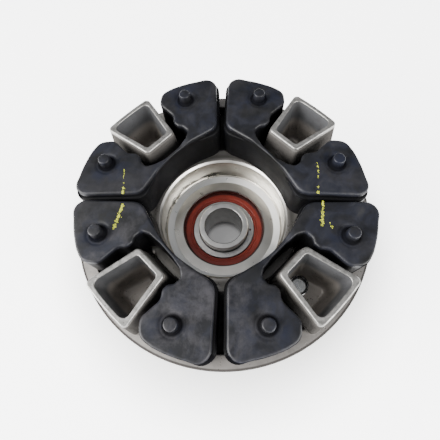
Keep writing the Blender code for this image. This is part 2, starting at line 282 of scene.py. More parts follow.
def jaw_angle(index):
    return math.radians(45) + index * math.tau / JAWS


def peg_spot(side):
    """Where a damper modelled along +X has the peg of one side, 1 or -1."""
    return polar(PEG_CIRCLE, PEG_ANGLE * side)


def damper_place(index):
    """Where a damper modelled along +X lies on its jaw."""
    out, across, turn = DAMPER_LIES[index]
    middle = Matrix.Translation((45 * MM, 0, 0))
    lie = Matrix.Translation((out * MM, across * MM, 0)) @ middle
    lie = lie @ Matrix.Rotation(math.radians(turn), 4, "Z") @ middle.inverted()
    return Matrix.Rotation(jaw_angle(index), 4, "Z") @ lie


# ---- material helpers


class Look:
    """A node material being built. Inputs are given by name, as values or as sockets to link."""

    def __init__(self, name):
        self.mat = bpy.data.materials.new(name)
        self.mat.use_nodes = True
        self.tree = self.mat.node_tree
        self.shader = self.tree.nodes["Principled BSDF"]

    def add(self, kind, inputs=None, out=0, **settings):
        node = self.tree.nodes.new("ShaderNode" + kind)
        for key, value in settings.items():
            setattr(node, key, value)
        for key, value in (inputs or {}).items():
            self.feed(node.inputs[key], value)
        return node.outputs[out]

    def feed(self, socket, value):
        if isinstance(value, bpy.types.NodeSocket):
            self.tree.links.new(value, socket)
        else:
            socket.default_value = value

    def set(self, **inputs):
        names = {"base": "Base Color", "rough": "Roughness", "metal": "Metallic", "normal": "Normal"}
        names |= {"aniso": "Anisotropic", "tangent": "Tangent", "spec": "Specular IOR Level"}
        for key, value in inputs.items():
            if key == "base" and isinstance(value, tuple):
                value = (*value, 1.0)
            self.feed(self.shader.inputs[names[key]], value)
        return self.mat

    def point(self):
        return self.add("TexCoord", out="Object")

    def noise(self, scale, detail, rough=0.55, distortion=0.0):
        """A noise whose scale is in blobs per metre."""
        inputs = {"Vector": self.point(), "Scale": scale, "Detail": detail}
        return self.add("TexNoise", inputs | {"Roughness": rough, "Distortion": distortion})

    def patchy(self, scale, detail, low, high):
        """A noise turned into values or colours between two."""
        return self.ramp(self.noise(scale, detail), (0.3, low), (0.7, high))

    def ramp(self, factor, *stops):
        node = self.tree.nodes.new("ShaderNodeValToRGB")
        ramp = node.color_ramp
        while len(ramp.elements) < len(stops):
            ramp.elements.new(0.5)
        for element, (place, value) in zip(ramp.elements, stops):
            element.position = place
            colour = value if isinstance(value, tuple) else (value, value, value)
            element.color = (*colour, 1.0)
        self.tree.links.new(factor, node.inputs["Fac"])
        return node.outputs["Color"]

    def math(self, operation, a, b=0.0):
        node = self.tree.nodes.new("ShaderNodeMath")
        node.operation = operation
        self.feed(node.inputs[0], a)
        self.feed(node.inputs[1], b)
        return node.outputs[0]

    def mix(self, factor, a, b):
        node = self.tree.nodes.new("ShaderNodeMix")
        node.data_type = "RGBA"
        self.feed(node.inputs["Factor"], factor)
        for key, value in ((6, a), (7, b)):
            self.feed(node.inputs[key], (*value, 1.0) if isinstance(value, tuple) else value)
        return node.outputs[2]

    def times(self, a, b):
        return self.math("MULTIPLY", a, b)

    def over(self, tone, colour, mask, share):
        """The tone with a colour on it, as strong as the mask times the share."""
        return self.mix(self.times(mask, share), tone, colour)

    def bump(self, height, distance, strength, normal=None):
        """A bump whose distance is in millimetres."""
        inputs = {"Height": height, "Distance": distance * MM, "Strength": strength}
        if normal is not None:
            inputs["Normal"] = normal
        return self.add("Bump", inputs)

    def edge(self, radius):
        """How sharply the surface turns within a radius in millimetres: 0 on flats, up to 1 on edges."""
        bevel = self.add("Bevel", {"Radius": radius * MM}, samples=4)
        plain = self.add("NewGeometry", out="Normal")
        dot = self.add("VectorMath", {0: bevel, 1: plain}, out="Value", operation="DOT_PRODUCT")
        return self.add("MapRange", {"Value": dot, "From Min": 1.0, "From Max": 0.8})

    def xyz(self):
        split = self.tree.nodes.new("ShaderNodeSeparateXYZ")
        self.tree.links.new(self.point(), split.inputs[0])
        return split.outputs

    def distance(self, x0, y0):
        """The distance in metres from the upright line through a point given in millimetres."""
        x, y, _ = self.xyz()
        x, y = self.math("SUBTRACT", x, x0 * MM), self.math("SUBTRACT", y, y0 * MM)
        return self.math("SQRT", self.math("ADD", self.times(x, x), self.times(y, y)))

    def axis_parts(self):
        """The distance from the axle line and the height, in metres."""
        return self.distance(0, 0), self.xyz()[2]

    def all_of(self, *masks):
        result = masks[0]
        for mask in masks[1:]:
            result = self.times(result, mask)
        return result

    def band(self, value, start, end):
        """0 before start and 1 after end, both in millimetres, of a length in metres."""
        inputs = {"Value": value, "From Min": start * MM, "From Max": end * MM}
        return self.add("MapRange", inputs, interpolation_type="SMOOTHSTEP")

    def turning(self, scale, detail):
        """Concentric tool marks: noise that varies only across the turned surface."""
        radius, height = self.axis_parts()
        across = self.add("CombineXYZ", {"X": radius, "Y": height})
        return self.add("TexNoise", {"Vector": across, "Scale": scale, "Detail": detail, "Roughness": 0.6})


def cast_look(name, dark, light, lined=False):
    """Die-cast aluminium: fine grain, cloudiness, pores, patches of grime and bright worn edges.

    A lined one also has jaws with rubbed rims, painted shade on the jaw walls below the rims and on
    their outer walls, the trough floor painted near black as painted shade, painted shade on the
    plateau and a painted shade line at the flange edge. Any other is brown near the hollows' floors.
    """
    look = Look(name)
    cloud = look.noise(90, 5, 0.6)
    tone = look.ramp(cloud, (0.3, dark), (0.7, light))
    grime = look.ramp(look.noise(260, 6, 0.65, distortion=0.4), (0.5, 0.0), (0.72, 1.0))
    tone = look.over(tone, (0.10, 0.092, 0.085), grime, 0.35)
    worn = look.times(look.edge(0.6), look.patchy(500, 3, 0.25, 0.85))
    tone = look.mix(worn, tone, (0.46, 0.445, 0.425))
    cells = look.add("TexVoronoi", {"Vector": look.point(), "Scale": 900.0}, out="Distance")
    spots = look.ramp(look.noise(170, 2), (0.50, 0.0), (0.60, 1.0))
    pores = look.times(look.ramp(cells, (0.12, 1.0), (0.25, 0.0)), spots)
    rough = look.ramp(cloud, (0.3, 0.50), (0.7, 0.40))
    metal, spec = 0.55, 0.5
    if not lined:
        low = look.band(look.xyz()[2], JAW_TOP - 8, JAW_TOP - 13)
        tone = look.over(tone, (0.38, 0.345, 0.312), low, 0.75)
    else:
        radius, height = look.axis_parts()
        wall = look.times(look.band(radius, 36.0, 37.0), look.band(height, FACE + 0.5, FACE + 2))
        foot = look.times(wall, look.band(height, JAW_TOP - 0.5, JAW_TOP - 2.4))
        outside = look.times(look.band(radius, RIM_INNER + 0.5, RIM_INNER + 1.1), wall)
        # Painted shade: the jaws' outer walls are darkened
        tone = look.over(tone, (0.09, 0.085, 0.08), outside, 0.5)
        # Painted shade: the jaw walls darken below their rims
        tone = look.over(tone, (0.035, 0.033, 0.031), foot, 0.86)
        rim = look.band(height, JAW_TOP - 0.9, JAW_TOP - 0.3)
        chips = look.noise(520, 6, 0.7)
        rubbed = look.ramp(chips, (0.35, (0.19, 0.187, 0.18)), (0.65, (0.37, 0.362, 0.35)))
        tone = look.mix(rim, tone, rubbed)
        above = look.band(height, SEAT_Z + 2, SEAT_Z + 3)
        # Painted shade: the plateau under the straps is darkened, most near the socket
        darkened = look.all_of(look.band(radius, 30.2, 32.0), look.band(radius, 37.2, 36.4), above)
        shade = look.mix(look.band(radius, 32.0, 34.5), (0.12, 0.115, 0.105), (0.24, 0.23, 0.215))
        tone = look.over(tone, shade, darkened, 0.85)
        # Painted shade: the trough floor between the dampers is painted near black
        trough = look.all_of(look.band(radius, 36.0, 36.8), look.band(radius, 61.2, 60.2), above)
        trough = look.times(trough, look.band(height, FACE + 2.5, FACE - 2.0))
        trough_shade = look.patchy(300, 4, (0.012, 0.012, 0.012), (0.035, 0.033, 0.031))
        tone = look.mix(trough, tone, trough_shade)
        # Painted shade: a dark line at the flange's top edge stands for its shaded side
        edge = look.band(radius, FLANGE_RADIUS - 1.3, FLANGE_RADIUS - 0.8)
        tone = look.over(tone, (0.03, 0.028, 0.027), edge, 0.9)
        # The flange edge and jaw walls painted dark as shade also have no shine, even seen at a flat angle
        painted_dark = look.math("MAXIMUM", edge, foot)
        shine_share = look.math("SUBTRACT", 1.0, painted_dark)
        metal, spec = look.times(shine_share, 0.8), look.times(shine_share, 0.5)
        rough = look.math("MAXIMUM", rough, look.times(painted_dark, 0.75))
    tone = look.over(tone, (0.03, 0.028, 0.026), pores, 0.85)
    normal = look.bump(look.noise(2600, 5, 0.7), 0.05, 0.5)
    normal = look.bump(look.math("SUBTRACT", 1.0, pores), 0.12, 0.6, normal)
    return look.set(base=tone, rough=rough, metal=metal, normal=normal, spec=spec)


def machined_look(name, light, dark, roughness):
    """Turned metal: concentric tool marks and reflections, a painted highlight on the cone, painted shade on
    the lip's edge, and a greasy line round the socket's wall.
    """
    look = Look(name)
    lines = look.turning(1100, 2)
    tone = look.mix(look.ramp(look.noise(70, 3, 0.5), (0.35, 0.0), (0.7, 1.0)), light, dark)
    tone = look.over(tone, dark, look.ramp(lines, (0.35, 1.0), (0.55, 0.0)), 0.18)
    radius, height = look.axis_parts()
    x, y, _ = look.xyz()
    by_wall = look.band(radius, SOCKET_RADIUS - 1.0, SOCKET_RADIUS - 0.6)
    wall = look.times(by_wall, look.band(height, PLATEAU - 0.8, PLATEAU - 1.2))
    cream = look.patchy(160, 4, (0.50, 0.465, 0.395), (0.70, 0.665, 0.585))
    tone = look.over(tone, cream, wall, 0.75)
    # Painted highlight: the cone is painted near white
    cone = look.times(look.band(radius, 25.2, 25.6), look.band(radius, 28.6, 28.3))
    tone = look.mix(cone, tone, (0.86, 0.85, 0.82))
    # Painted shade: the lip's edge is painted dark
    lip = look.band(radius, LIP_RADIUS + 0.7, LIP_RADIUS + 0.4)
    tone = look.over(tone, (0.06, 0.04, 0.035), lip, 0.9)
    wave = look.times(look.math("SUBTRACT", look.noise(110, 5, 0.6), 0.5), 0.009)
    level = look.math("ADD", height, wave)
    line = look.times(look.band(level, FACE - 16.2, FACE - 15.7), look.band(level, FACE - 13.0, FACE - 14.2))
    thick = look.ramp(look.noise(330, 5, 0.7), (0.36, 0.0), (0.46, 1.0))
    grease = look.all_of(line, thick, by_wall, look.band(x, 6, -6), look.band(y, -12, -2))
    tone = look.over(tone, (0.03, 0.027, 0.02), grease, 0.93)
    normal = look.bump(lines, 0.02, 0.5)
    rough = look.patchy(200, 3, roughness, roughness + 0.10)
    tangent = look.add("Tangent", direction_type="RADIAL", axis="Z")
    return look.set(base=tone, rough=rough, metal=1.0, normal=normal, aniso=0.5, tangent=tangent)


def rubber_look():
    """Black rubber, mottled, dusty and smudged, the smudges stronger on the lower-left lobes as a painted
    sheen, with a painted bluish sheen round the pegs, rubbed top edges that also carry a painted highlight,
    and painted shade on the walls below the top and round each peg's foot.
    """
    look = Look("BlackRubber")
    cloud = look.noise(85, 5, 0.6, distortion=0.8)
    tone = look.ramp(
        cloud,
        (0.34, (0.0050, 0.0052, 0.0058)),
        (0.50, (0.0068, 0.0072, 0.0098)),
        (0.60, (0.0110, 0.0120, 0.0180)),
        (0.74, (0.0225, 0.0225, 0.0245)),
    )
    x, y, height = look.xyz()
    # Pale smudges, stronger on the lower-left lobes, where they also stand for a painted sheen
    smudge_and_sheen = look.ramp(look.noise(75, 7, 0.7, distortion=0.2), (0.44, 0.0), (0.62, 1.0))
    lower_left_sheen_and_smudge = look.times(look.band(x, 25, -5), look.band(y, 5, -25))
    smudge_and_sheen = look.times(smudge_and_sheen, look.math("ADD", look.times(lower_left_sheen_and_smudge, 0.5), 0.2))
    tone = look.mix(smudge_and_sheen, tone, (0.052, 0.050, 0.056))
    from_peg = 1.0
    for k in range(JAWS):
        for side in (-1, 1):
            x0, y0 = peg_spot(side)
            spot = damper_place(k) @ Vector((x0 * MM, y0 * MM, 0)) / MM
            from_peg = look.math("MINIMUM", look.distance(spot.x, spot.y), from_peg)
    # Painted sheen: bluish patches round the pegs
    peg_sheen = look.ramp(look.noise(130, 4), (0.46, 0.0), (0.64, 0.8))
    tone = look.over(tone, (0.0080, 0.0100, 0.0200), peg_sheen, look.band(from_peg, 13, 6))
    top = look.band(height, DAMPER_TOP - 4.5, DAMPER_TOP - 2.5)
    wear = look.ramp(look.noise(240, 4), (0.35, 0.15), (0.7, 0.8))
    outer = look.band(look.distance(0, 0), 58, 61)
    # Rubbed top edges, lightened as wear and as a painted highlight, but not near the pegs or on the outer
    # edges
    rub_and_highlight = look.all_of(look.edge(0.8), wear, top, look.band(from_peg, 6.5, 8))
    tone = look.over(tone, (0.028, 0.028, 0.031), rub_and_highlight, look.math("SUBTRACT", 1.0, outer))
    # Painted shade: the walls darken below the top
    side = look.band(height, DAMPER_TOP - 1.0, DAMPER_TOP - 2.6)
    tone = look.over(tone, (0.0035, 0.0035, 0.0035), side, 0.8)
    shaded = look.times(look.band(from_peg, 2.4, 2.8), look.band(from_peg, 4.6, 3.4))
    tone = look.over(tone, (0.0030, 0.0030, 0.0034), shaded, 0.8)
    dust = look.ramp(look.noise(1500, 6, 0.75), (0.66, 0.0), (0.78, 0.5))
    tone = look.over(tone, (0.08, 0.077, 0.072), dust, 0.2)
    normal = look.bump(look.noise(1900, 5, 0.65), 0.035, 0.5)
    normal = look.bump(look.noise(120, 3), 0.25, 0.25, normal)
    rough = look.ramp(look.noise(110, 5, 0.6), (0.3, 0.38), (0.7, 0.56))
    rolled = look.times(outer, look.band(height, DAMPER_TOP - 0.25, DAMPER_TOP - 0.5))
    matt = look.math("MAXIMUM", look.math("MAXIMUM", look.times(side, 0.8), shaded), rolled)
    spec = look.times(look.math("SUBTRACT", 1.0, matt), 0.30)
    return look.set(base=tone, rough=rough, normal=normal, spec=spec)


def red_rubber_look():
    look = Look("RedSealRubber")
    tone = look.patchy(200, 4, (0.27, 0.028, 0.017), (0.37, 0.045, 0.026))
    dirt = look.ramp(look.noise(900, 6, 0.7), (0.58, 0.0), (0.75, 0.6))
    tone = look.over(tone, (0.12, 0.03, 0.02), dirt, 0.5)
    radius = look.distance(0, 0)
    # Painted shadows: dark lines at the seal's outer and inner edges
    edge_shadows = look.math("MAXIMUM", look.band(radius, 19.3, 20.0), look.band(radius, 15.7, 15.2))
    tone = look.over(tone, (0.03, 0.012, 0.01), edge_shadows, 0.85)
    normal = look.bump(look.noise(2400, 4), 0.02, 0.5)
    rough = look.patchy(350, 4, 0.42, 0.58)
    return look.set(base=tone, rough=rough, normal=normal)


def steel_look(name, light, dark, roughness):
    look = Look(name)
    tone = look.mix(look.ramp(look.noise(220, 5), (0.35, 0.0), (0.7, 1.0)), light, dark)
    specks = look.ramp(look.noise(900, 4, 0.7), (0.68, 0.0), (0.76, 1.0))
    tone = look.over(tone, (0.10, 0.075, 0.05), specks, 0.35)
    # Painted shade: the sleeve's bore wall is darkened
    bore = look.band(look.distance(0, 0), SLEEVE_BORE + 0.4, SLEEVE_BORE + 0.1)
    tone = look.over(tone, (0.10, 0.098, 0.094), bore, 0.75)
    # Painted shade: a small dark dot stands for a punched dimple
    punch = look.band(look.distance(13.7, -0.8), 0.75, 0.35)
    tone = look.over(tone, (0.09, 0.015, 0.012), punch, 0.92)
    normal = look.bump(look.turning(1300, 2), 0.01, 0.5)
    rough = look.patchy(420, 4, roughness, roughness + 0.14)
    return look.set(base=tone, rough=rough, metal=1.0, normal=normal)


def zinc_look():
    look = Look("ZincPlate")
    tone = look.patchy(400, 5, (0.70, 0.71, 0.70), (0.86, 0.87, 0.86))
    darkened = look.ramp(look.noise(1500, 5, 0.7), (0.55, 0.0), (0.75, 1.0))
    tone = look.over(tone, (0.25, 0.25, 0.24), darkened, 0.5)
    normal = look.bump(look.noise(2600, 4, 0.7), 0.05, 0.6)
    rough = look.patchy(700, 4, 0.22, 0.42)
    return look.set(base=tone, rough=rough, metal=0.85, normal=normal)


def cage_look():
    look = Look("CagePolyamide")
    tone = look.patchy(300, 4, (0.030, 0.030, 0.032), (0.055, 0.055, 0.058))
    normal = look.bump(look.noise(2500, 4), 0.03, 0.4)
    rough = look.patchy(500, 3, 0.5, 0.65)
    return look.set(base=tone, rough=rough, normal=normal)


def wax_look():
    look = Look("YellowWax")
    tone = look.patchy(1500, 4, (0.29, 0.32, 0.010), (0.50, 0.52, 0.04))
    normal = look.bump(look.noise(3500, 5, 0.7), 0.06, 0.8)
    rough = look.patchy(900, 4, 0.55, 0.75)
    return look.set(base=tone, rough=rough, normal=normal)


CAST = cast_look("CastAluminium", (0.25, 0.235, 0.222), (0.34, 0.322, 0.305), lined=True)
# A darker copy of the cast aluminium for the jaws' hollows, as painted shade
POCKET = cast_look("ShadedPocketAluminium", (0.085, 0.087, 0.092), (0.150, 0.152, 0.160))
MACHINED = machined_look("MachinedAluminium", (0.62, 0.605, 0.575), (0.50, 0.485, 0.455), 0.27)
RUBBER = rubber_look()
RED = red_rubber_look()
RING_STEEL = steel_look("BearingSteel", (0.66, 0.65, 0.64), (0.50, 0.49, 0.48), 0.27)
SLEEVE_STEEL = steel_look("SleeveSteel", (0.80, 0.79, 0.77), (0.62, 0.61, 0.59), 0.29)
DARK_STEEL = steel_look("SpringSteel", (0.20, 0.20, 0.21), (0.12, 0.12, 0.125), 0.34)
ZINC = zinc_look()
CAGE = cage_look()
WAX = wax_look()


# ---- casting


def jaw_outline(grow_in, grow_side, grow_out, radius, more_radius=0.0):
    """The jaw's section, its axis along +X: a trapezoid whose outer side bulges a little.

    Its outer corners may have more radius than its inner ones.
    """
    inner, outer = JAW_IN - grow_in, JAW_OUT + grow_out
    half_in, half_out = JAW_HALF_IN + grow_side, JAW_HALF_OUT + grow_side
    corners = [(inner, half_in, radius), (inner, -half_in, radius)]
    edge = math.sqrt(outer**2 - half_out**2)
    for share in (-1, -0.42, -0.2, 0, 0.2, 0.42, 1):
        across = half_out * share
        bulge = 0.45 * (math.sqrt(outer**2 - across**2) - edge)
        corners.append((edge + bulge, across, radius + more_radius if abs(share) == 1 else 0))
    return rounded(corners, 6)


def jaw_block():
    """Outside of a jaw: drafted walls, a flared foot and a softly rounded rim."""
    depth = JAW_TOP - FLOOR
    rings = []
    for above_foot, flare in ((-1.0, 1.0), (0.0, 0.9), (0.35, 0.5), (0.9, 0.2), (1.6, 0.0)):
        drop = depth - above_foot
        t = min(1.0, drop / depth)
        grown = DRAFT_IN * t + flare, DRAFT_SIDE * t + flare * 0.6, DRAFT_OUT * t + flare
        rings.append((drop, jaw_outline(*grown, 2.3 + flare * 0.4)))
    for t in (0.6, 0.3):
        rings.append((depth * t, jaw_outline(DRAFT_IN * t, DRAFT_SIDE * t, DRAFT_OUT * t, 2.1)))
    rim = 0.75
    for across, up in quarter(4):
        back = rim * across
        rings.append((rim * up, jaw_outline(-back, -back, -back, 2.0 - back * 0.7)))
    return loft_mesh("JawBlock", [at(outline, JAW_TOP - drop) for drop, outline in rings])


def jaw_pocket():
    """The hollow in a jaw: tapered walls, a rounded foot and a rounded mouth."""
    wall, side_wall = -JAW_WALL, 0.1 - JAW_WALL
    depth = JAW_TOP - POCKET_FLOOR
    mouth, more = 0.35, 0.9
    rings = [(depth - 4.5 * across, 1.0, 2.6 * up) for across, up in quarter(4)]
    rings += [(depth * t, t, 0.0) for t in (0.7, 0.4, 0.15)]
    outlines = []
    for drop, t, back in rings:
        grown = wall - 1.6 * t - back, side_wall - 1.5 * t - back, wall - 2.2 * t - back
        outlines.append((drop, jaw_outline(*grown, 1.7 + 0.9 * t - 0.7 * back, more)))
    for across, up in quarter(4):
        out = mouth * across
        outline = jaw_outline(wall + out, side_wall + out, wall + out, 1.7 + out * 0.4, more)
        outlines.append((mouth * up, outline))
    outlines.append((-1.0, outline))
    mesh = loft_mesh("JawPocket", [at(outline, JAW_TOP - drop) for drop, outline in outlines])
    low = POCKET_FLOOR - 0.25
    mark = [(0, low + 3, 0), (2.2, low + 3, 0), (2.2, low, 0), (0, low, 0)]
    pin = tool("PinMark", solid_turned("PinMark", mark, 36), (54.3, 0, 0))
    return joined(tool("PocketBlank", mesh), [("UNION", pin)], "JawPocket")


def carrier_section():
    clip_low, clip_high = span("circlip")[0].z - GAP, span("circlip")[1].z + GAP
    seat = RING_TOP + GAP
    floor = FACE - 18.4
    boss_top = SEAT_Z - 5.5
    return [
        (RIM_INNER, FACE, 0.6),
        (FLANGE_RADIUS, FACE, 0.8),
        (FLANGE_RADIUS, FACE - 7.0, 0.8),
        (SEAT_RADIUS + 1.2, FACE - 7.0, 1.6),
        (SEAT_RADIUS, SEAT_Z, 0.6),
        (PILOT_RADIUS, SEAT_Z, 0.3),
        (PILOT_RADIUS, boss_top, 0.9),
        (BOSS_RADIUS + 1.5, boss_top, 1.6),
        (BOSS_RADIUS, 0.0, 1.2),
        (BEARING_BORE + 0.7, 0.0, 0.25),
        (BEARING_BORE, 0.7, 0.2),
        (BEARING_BORE, clip_low, 0.1),
        (CLIP_GROOVE, clip_low, 0.2),
        (CLIP_GROOVE, clip_high, 0.2),
        (BEARING_BORE, clip_high, 0.1),
        (BEARING_BORE, seat, 0.2),
        (LIP_RADIUS, seat, 0.3),
        (LIP_RADIUS, floor, 0.45),
        (25.3, floor, 0.5),
        (SOCKET_RADIUS - 0.35, floor + 1.1, 0.3),
        (SOCKET_RADIUS - 0.30, floor + 1.5, 0.1),
        (SOCKET_RADIUS, floor + 1.7, 0.1),
        (SOCKET_RADIUS, PLATEAU - 1.0, 0.25),
        (SOCKET_RADIUS + 1.0, PLATEAU, 0.35),
        (PLATEAU_RADIUS, PLATEAU, 0.5),
        (PLATEAU_RADIUS + 0.8, FLOOR, 0.5),
        (RIM_INNER, FLOOR, 0.6),
    ]


def stud_centres():
    for number in range(1, STUDS + 1):
        low, high = span(f"sprocket_stud_{number}")
        yield number, (low.x + high.x) / 2, (low.y + high.y) / 2


def in_pocket(x, y, z):
    """Whether a point of the casting's surface is on the inside of a jaw's hollow."""
    flare = 0.179
    if z > JAW_TOP - 0.5 or z < POCKET_FLOOR - 0.3:
        return False
    angle = math.atan2(y, x)
    nearest = jaw_angle(round((angle - jaw_angle(0)) / (math.tau / JAWS)))
    along, across = polar(math.hypot(x, y), angle - nearest)
    half = JAW_HALF_IN - 1.0 + flare * (along - JAW_IN)
    return JAW_IN + 1.1 < along < JAW_OUT - 1.1 and abs(across) < half


def paint_casting(mesh):
    """Gives the turned faces the machined material and the jaws' hollows a darker copy of the cast look, as
    painted shade.
    """
    for face in mesh.polygons:
        x, y, z = (value / MM for value in face.center)
        radius = math.hypot(x, y)
        socket = radius < SOCKET_RADIUS + 1.02 and z < PLATEAU + 0.02
        seat = SEAT_Z - 5.3 < z < SEAT_Z + 0.02 and radius < SEAT_RADIUS - 0.3
        end = z < 0.3
        face.material_index = 1 if socket or seat or end else 2 if in_pocket(x, y, z) else 0


def make_carrier():
    body = tool("CarrierBody", turned_mesh("CarrierBody", carrier_section(), 180))
    block, pocket = jaw_block(), jaw_pocket()
    steps = [("UNION", tool(f"Jaw{k}", block, angle=jaw_angle(k))) for k in range(JAWS)]
    steps += [("DIFFERENCE", tool(f"Pocket{k}", pocket, angle=jaw_angle(k))) for k in range(JAWS)]
    under = SEAT_Z - 0.5
    hole = [(0.0, JAW_TOP, 0), (4.3, JAW_TOP, 0), (4.3, SEAT_Z + 0.5, 0), (4.9, under, 0), (0.0, under, 0)]
    for number, x, y in stud_centres():
        steps.append(("DIFFERENCE", tool(f"Hole{number}", solid_turned("Hole", hole, 40), (x, y, 0))))
    mesh = joined(body, steps, "CarrierCasting")
    obj = new_object("carrier_casting", mesh, CAST, MACHINED, POCKET)
    paint_casting(mesh)
    finish_mesh(mesh, 32)
    weight_normals(obj)
    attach(obj, "carrier")
    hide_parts("sprocket_carrier")


# ---- dampers


def lobe_side(gap):
    """One lobe's outline from the strap to the gap and back, the jaw's axis being +X and the lobe at +Y."""
    step = gap * math.sqrt(2)
    reach = 47.3
    inner = 21.6
    points = [(31.9, 4.0, 0), (32.5, 9.4, 1.2), (34.4, 12.6, 2.0), (37.7, 12.6, 1.9), (39.7, 11.2, 2.2)]
    points += [(42.4, 11.2, 2.4), (45.4, 13.8, 4.0), (55.0, 13.7, 4.0), (59.4, 18.8, 5.5)]
    for k in range(6):
        angle = 0.40 + 0.042 * k
        radius = LOBE_OUT - 0.25 * (1 - k / 5) ** 2
        points.append((*polar(radius, angle), 0))
    points += [(reach, reach - step, 5.2), (inner + step + 1.6, inner + 1.6, 6.5)]
    points += [(30.4 - y * y / 92, y, 0) for y in (12.0, 9.5, 7.0, 4.5, 1.5)]
    return points


def both_lobes(gap):
    upper = lobe_side(gap)
    return [(x, -y, radius) for x, y, radius in reversed(upper)] + upper


def damper_outline(gap):
    """The outline, with as many points whatever the gap: a plain one sets how many."""
    corners, plain = both_lobes(gap), both_lobes(1.2)
    arcs = [rounded_corner(corners, i, 7) for i in range(len(corners))]
    points = []
    for i, arc in enumerate(arcs):
        points += arc
        j = (i + 1) % len(arcs)
        a, b = Vector(arc[-1]), Vector(arcs[j][0])
        pieces = max(1, math.ceil(math.dist(plain[i][:2], plain[j][:2]) / 2.5))
        points += [tuple(a.lerp(b, k / pieces)) for k in range(1, pieces)]
    return points


def lowered(mesh):
    """Sinks the strap between the two lobes a little below their tops."""
    most, from_z = 1.5, FACE + 9
    for vert in mesh.vertices:
        x, y, z = (value / MM for value in vert.co)
        if z < from_z or x > 34:
            continue
        share = max(0.0, 1 - abs(y) / 11.5)
        share = share * share * (3 - 2 * share)
        vert.co.z -= most * min(1.0, share * 1.6) * min(1.0, (z - from_z) / 6) * MM


def edge_share(x, y):
    """How much of the edge rounding a point takes: the thin strap takes less than the lobes."""
    return 1.0 if x > 36 else 0.5 + 0.5 * min(1.0, max(0.0, (abs(y) - 8.5) / 4))


def damper_blank():
    """A damper without pegs. Its gap to the next damper is wide above the ledge and narrow below it."""
    low = FLOOR + GAP
    below, above = damper_outline(1.0), damper_outline(2.15)
    foot = [pulled_in(below, 0.7, edge_share), pulled_in(below, 0.2, edge_share), below]
    rings = [at(outline, low + rise) for outline, rise in zip(foot, (0.0, 0.2, 0.7))]
    ledge_edge = 0.8
    rings += [at(below, FACE + 5), at(below, LEDGE - ledge_edge)]
    for k in range(1, 5):
        angle = k / 4 * math.pi / 2
        run, rise = 1 - math.cos(angle), math.sin(angle)
        blend = [(a[0] + (b[0] - a[0]) * run, a[1] + (b[1] - a[1]) * run) for a, b in zip(below, above)]
        rings.append(at(blend, LEDGE - ledge_edge + ledge_edge * rise))
    rings.append(at(above, LEDGE + 0.25))
    edge = 1.15
    for across, up in quarter(5):
        rings.append(at(pulled_in(above, edge * across, edge_share), DAMPER_TOP - edge * up))
    return loft_mesh("DamperBlank", rings)


def damper_moulding():
    """A whole damper, stepped to clear the flange's rim and the plateau, with a dished peg on each lobe."""
    low, rim, plateau = FLOOR - 5, FACE + GAP, PLATEAU + GAP
    under_rim = [(72, rim, 0), (72, low, 0), (59.6, low, 0), (59.6, rim, 0.8)]
    over_plateau = [(37.0, plateau, 0.8), (37.0, low, 0), (10, low, 0), (10, plateau, 0)]
    steps = [
        ("DIFFERENCE", tool("UnderRim", turned_mesh("UnderRim", under_rim, 120))),
        ("DIFFERENCE", tool("OverPlateau", turned_mesh("OverPlateau", over_plateau, 120))),
    ]
    dish, over = DAMPER_TOP - 0.4, DAMPER_TOP + 2
    hollow = [(0, over, 0), (5.9, over, 0), (5.9, DAMPER_TOP + 0.03, 0), (4.6, dish, 1.5), (0, dish, 0)]
    peg = [(0, PEG_TOP, 0), (2.45, PEG_TOP, 0.55), (2.85, dish, 0.9)]
    peg += [(4.3, dish - 0.02, 0), (4.3, dish - 2, 0), (0, dish - 2, 0)]
    for side in (-1, 1):
        where = (*peg_spot(side), 0)
        steps.append(("DIFFERENCE", tool(f"Dish{side}", solid_turned("Dish", hollow, 48), where)))
        steps.append(("UNION", tool(f"Peg{side}", solid_turned("Peg", peg, 48, 4), where)))
    mesh = joined(tool("DamperBody", damper_blank()), steps, "DamperMoulding")
    bm = bmesh.new()
    bm.from_mesh(mesh)
    wide = [face for face in bm.faces if len(face.verts) > 12]
    bmesh.ops.triangulate(bm, faces=wide, ngon_method="BEAUTY")
    bm.to_mesh(mesh)
    bm.free()
    lowered(mesh)
    return finish_mesh(mesh, 40)


def make_dampers():
    mould = damper_moulding()
    for k in range(JAWS):
        mesh = mould.copy()
        mesh.transform(damper_place(k))
        obj = new_object(f"rubber_damper_{k + 1}", mesh, RUBBER)
        weight_normals(obj)
        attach(obj, f"damper_{k + 1}")
        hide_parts(f"damper_{k + 1}")


def crayon_flakes(name, strokes, body, seed):
    """A broken wax line on a rubber top: small flat flakes along each (start, end, width, share) stroke."""
    rng = random.Random(seed)
    bm = bmesh.new()
    for start, end, width, share in strokes:
        length = math.dist(start, end)
        along = Vector((end[0] - start[0], end[1] - start[1])).normalized()
        across = Vector((-along.y, along.x))
        for _ in range(int(length * 26 * share)):
            reach = rng.random() * length
            ragged = noise.noise(Vector((reach * 0.9, seed * 3.1, 0)))
            if ragged < -0.28:
                continue
            aside = rng.gauss(0, 0.27) * width
            centre = Vector(start) + along * reach + across * aside
            size = rng.uniform(0.10, 0.30)
            count = 7
            rim, crown = [], []
            for k in range(count):
                angle = k * math.tau / count + rng.uniform(-0.2, 0.2)
                spread = size * rng.uniform(0.55, 1.25)
                x = centre.x + math.cos(angle) * spread
                y = centre.y + math.sin(angle) * spread * 1.25
                rim.append(bm.verts.new((x * MM, y * MM, (DAMPER_TOP - 0.02) * MM)))
                x = centre.x + (x - centre.x) * 0.72
                y = centre.y + (y - centre.y) * 0.72
                crown.append(bm.verts.new((x * MM, y * MM, (DAMPER_TOP + rng.uniform(0.05, 0.1)) * MM)))
            bm.faces.new(crown)
            bm.faces.new(reversed(rim))
            bridge(bm, rim, crown)
    mesh = made_mesh(bm, name, outwards=False)
    obj = new_object(name, mesh, WAX)
    finish_mesh(mesh, 50)
    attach(obj, body)


